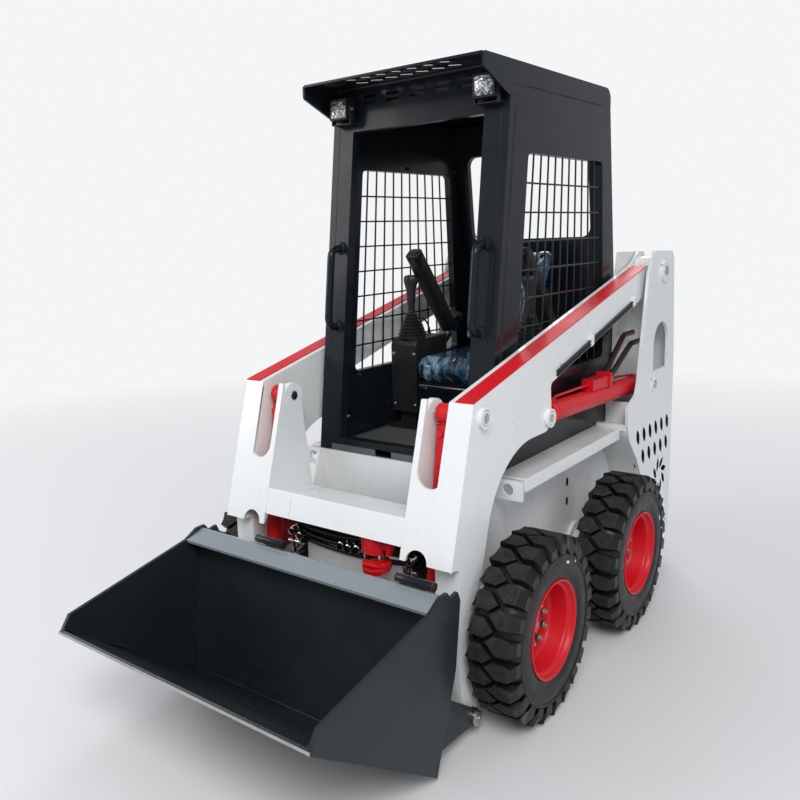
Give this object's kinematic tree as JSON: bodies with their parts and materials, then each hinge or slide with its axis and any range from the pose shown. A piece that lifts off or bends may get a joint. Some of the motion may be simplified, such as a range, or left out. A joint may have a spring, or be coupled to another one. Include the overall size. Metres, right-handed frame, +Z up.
{
  "type": "skid steer loader",
  "caption": "Compact wheeled skid steer loader with canopy cab, side lift arms, hydraulic cylinders and a general-purpose bucket.",
  "frame": {"origin": "on the ground under the middle of the bounding box, machine parked with the bucket on its heel", "axes": "+Z up, -Y towards the bucket, +X to the machine's left"},
  "size_m": [1.268, 2.52, 2.084],
  "materials": {
    "white_paint": "gloss",
    "black_paint": "gloss",
    "bucket_paint": "satin",
    "red_paint": "gloss",
    "steel": "satin",
    "cast_iron": "matte",
    "black_rubber": "matte",
    "black_plastic": "matte",
    "lamp_black": "gloss",
    "seat_cover": "gloss",
    "tyre": "matte"
  },
  "bodies": {
    "chassis": {"chassis_frame": "white_paint", "axle_housings": "white_paint", "fenders": "white_paint", "rear_tower_left": "white_paint", "rear_tower_right": "white_paint", "engine_block": "cast_iron", "engine_hood": "black_paint", "cab_side_left": "black_paint", "cab_side_right": "black_paint", "cab_roof": "black_paint", "cab_back": "black_paint", "cab_front_frame": "black_paint", "cab_floor": "black_rubber", "side_guards": "black_paint", "grab_handles": "black_paint", "work_lamps": "lamp_black", "seat_base": "black_paint", "seat_cushion": "seat_cover", "seat_backrest": "seat_cover", "control_consoles": "black_plastic", "control_levers": "black_plastic"},
    "arms": {"arm_left": "white_paint", "arm_right": "white_paint", "cross_beam": "white_paint", "arm_strips": "red_paint", "arm_pins": "steel", "aux_coupler": "red_paint"},
    "bucket": {"bucket_shell": "bucket_paint", "quick_attach": "bucket_paint", "bucket_pins": "steel"},
    "rear_door": {"rear_door": "white_paint"},
    "lift_barrel_left": {"lift_barrel_left": "red_paint"},
    "lift_rod_left": {"lift_rod_left": "red_paint"},
    "tilt_barrel_left": {"tilt_barrel_left": "red_paint"},
    "tilt_rod_left": {"tilt_rod_left": "red_paint"},
    "wheel_front_left": {"tyre_front_left": "tyre", "rim_front_left": "red_paint"},
    "wheel_rear_left": {"tyre_rear_left": "tyre", "rim_rear_left": "red_paint"},
    "lift_barrel_right": {"lift_barrel_right": "red_paint"},
    "lift_rod_right": {"lift_rod_right": "red_paint"},
    "tilt_barrel_right": {"tilt_barrel_right": "red_paint"},
    "tilt_rod_right": {"tilt_rod_right": "red_paint"},
    "wheel_front_right": {"tyre_front_right": "tyre", "rim_front_right": "red_paint"},
    "wheel_rear_right": {"tyre_rear_right": "tyre", "rim_rear_right": "red_paint"}
  },
  "joints": [
    {"name": "arm_lift", "type": "hinge", "parent": "chassis", "child": "arms", "pos_m": [0, 1.061, 1.326], "axis": [-1, 0, 0], "range_deg": [0, 62]},
    {"name": "bucket_tilt", "type": "hinge", "parent": "arms", "child": "bucket", "pos_m": [0, -0.5, 0.07], "axis": [1, 0, 0], "range_deg": [0, 126]},
    {"name": "rear_door_swing", "type": "hinge", "parent": "chassis", "child": "rear_door", "pos_m": [-0.346, 1.25, 0.76], "axis": [0, 0, 1], "range_deg": [0, 105]},
    {"name": "lift_barrel_left_swing", "type": "hinge", "parent": "chassis", "child": "lift_barrel_left", "pos_m": [0.421, 0.975, 0.856], "axis": [-1, 0, 0], "range_deg": [0, 54.26]},
    {"name": "lift_rod_left_slide", "type": "slide", "parent": "lift_barrel_left", "child": "lift_rod_left", "axis": [0, -0.9992, 0.0389], "range_m": [0, 0.46667]},
    {"name": "tilt_barrel_left_swing", "type": "hinge", "parent": "arms", "child": "tilt_barrel_left", "pos_m": [0.341, -0.413, 0.978], "axis": [-1, 0, 0], "range_deg": [0, 0.7485]},
    {"name": "tilt_rod_left_slide", "type": "slide", "parent": "tilt_barrel_left", "child": "tilt_rod_left", "axis": [0, -0.1499, -0.9887], "range_m": [0, 0.22265]},
    {"name": "lift_barrel_right_swing", "type": "hinge", "parent": "chassis", "child": "lift_barrel_right", "pos_m": [-0.421, 0.975, 0.856], "axis": [-1, 0, 0], "range_deg": [0, 54.26]},
    {"name": "lift_rod_right_slide", "type": "slide", "parent": "lift_barrel_right", "child": "lift_rod_right", "axis": [0, -0.9992, 0.0389], "range_m": [0, 0.46667]},
    {"name": "tilt_barrel_right_swing", "type": "hinge", "parent": "arms", "child": "tilt_barrel_right", "pos_m": [-0.341, -0.413, 0.978], "axis": [-1, 0, 0], "range_deg": [0, 0.7485]},
    {"name": "tilt_rod_right_slide", "type": "slide", "parent": "tilt_barrel_right", "child": "tilt_rod_right", "axis": [0, -0.1499, -0.9887], "range_m": [0, 0.22265]},
    {"name": "wheel_front_left_spin", "type": "hinge", "parent": "chassis", "child": "wheel_front_left", "pos_m": [0.5515, -0.26, 0.295], "axis": [1, 0, 0], "continuous": true},
    {"name": "wheel_front_right_spin", "type": "hinge", "parent": "chassis", "child": "wheel_front_right", "pos_m": [-0.5515, -0.26, 0.295], "axis": [1, 0, 0], "continuous": true},
    {"name": "wheel_rear_left_spin", "type": "hinge", "parent": "chassis", "child": "wheel_rear_left", "pos_m": [0.5515, 0.485, 0.295], "axis": [1, 0, 0], "continuous": true},
    {"name": "wheel_rear_right_spin", "type": "hinge", "parent": "chassis", "child": "wheel_rear_right", "pos_m": [-0.5515, 0.485, 0.295], "axis": [1, 0, 0], "continuous": true}
  ],
  "couplings": [
    {"joint": "lift_barrel_left_swing", "follows": "arm_lift", "ratio": 0.87493},
    {"joint": "lift_rod_left_slide", "follows": "arm_lift", "m_per_rad": 0.43108},
    {"joint": "tilt_barrel_left_swing", "follows": "bucket_tilt", "ratio": 0.005861},
    {"joint": "tilt_rod_left_slide", "follows": "bucket_tilt", "m_per_rad": 0.10115},
    {"joint": "lift_barrel_right_swing", "follows": "arm_lift", "ratio": 0.87493},
    {"joint": "lift_rod_right_slide", "follows": "arm_lift", "m_per_rad": 0.43108},
    {"joint": "tilt_barrel_right_swing", "follows": "bucket_tilt", "ratio": 0.005861},
    {"joint": "tilt_rod_right_slide", "follows": "bucket_tilt", "m_per_rad": 0.10115}
  ]
}
